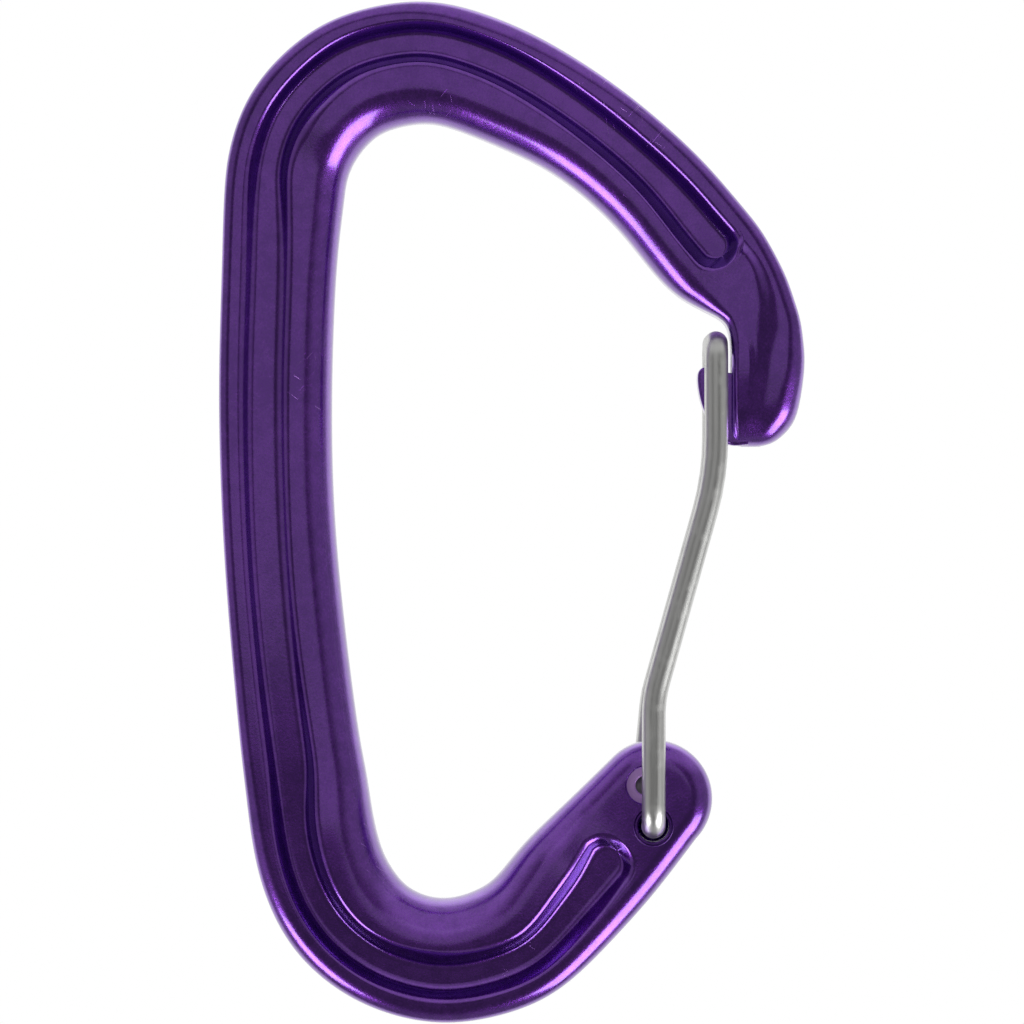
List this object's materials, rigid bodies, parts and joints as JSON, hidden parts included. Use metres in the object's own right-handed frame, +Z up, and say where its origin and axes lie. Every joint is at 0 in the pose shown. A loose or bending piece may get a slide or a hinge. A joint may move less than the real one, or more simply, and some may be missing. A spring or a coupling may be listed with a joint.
{
  "type": "wire-gate carabiner",
  "caption": "Wire-gate climbing carabiner: forged I-beam aluminium frame with a sprung bent-wire gate that opens inward past a hooked nose.",
  "frame": {"origin": "highest point of the crown's inner seat, on the mid-plane, where a rope or sling bears", "axes": "+Z up towards the crown, +X from the spine towards the gate, +Y through the thickness from the front face to the rear face"},
  "size_m": [0.0556, 0.012, 0.097],
  "materials": {
    "purple_anodised_aluminium": "fine-blasted, purple anodised",
    "stainless_wire": "drawn and polished"
  },
  "bodies": {
    "frame": {"frame": "purple_anodised_aluminium"},
    "gate": {"gate_front_leg": "stainless_wire"},
    "rear_leg": {"gate_rear_leg": "stainless_wire"}
  },
  "joints": [
    {"name": "gate_hinge", "type": "hinge", "parent": "frame", "child": "gate", "pos_m": [0.0226, 0, -0.0667], "axis": [0, -1, 0], "range_deg": [0, 36], "stiffness_Nm_per_rad": 0.3, "springref_deg": -28.65},
    {"name": "gate_twist", "type": "hinge", "parent": "gate", "child": "rear_leg", "pos_m": [0.02851, 0, -0.0209], "axis": [0, -1, 0], "range_deg": [0, 3.24]}
  ],
  "couplings": [
    {"joint": "gate_twist", "follows": "gate_hinge", "ratio": 0.09}
  ]
}
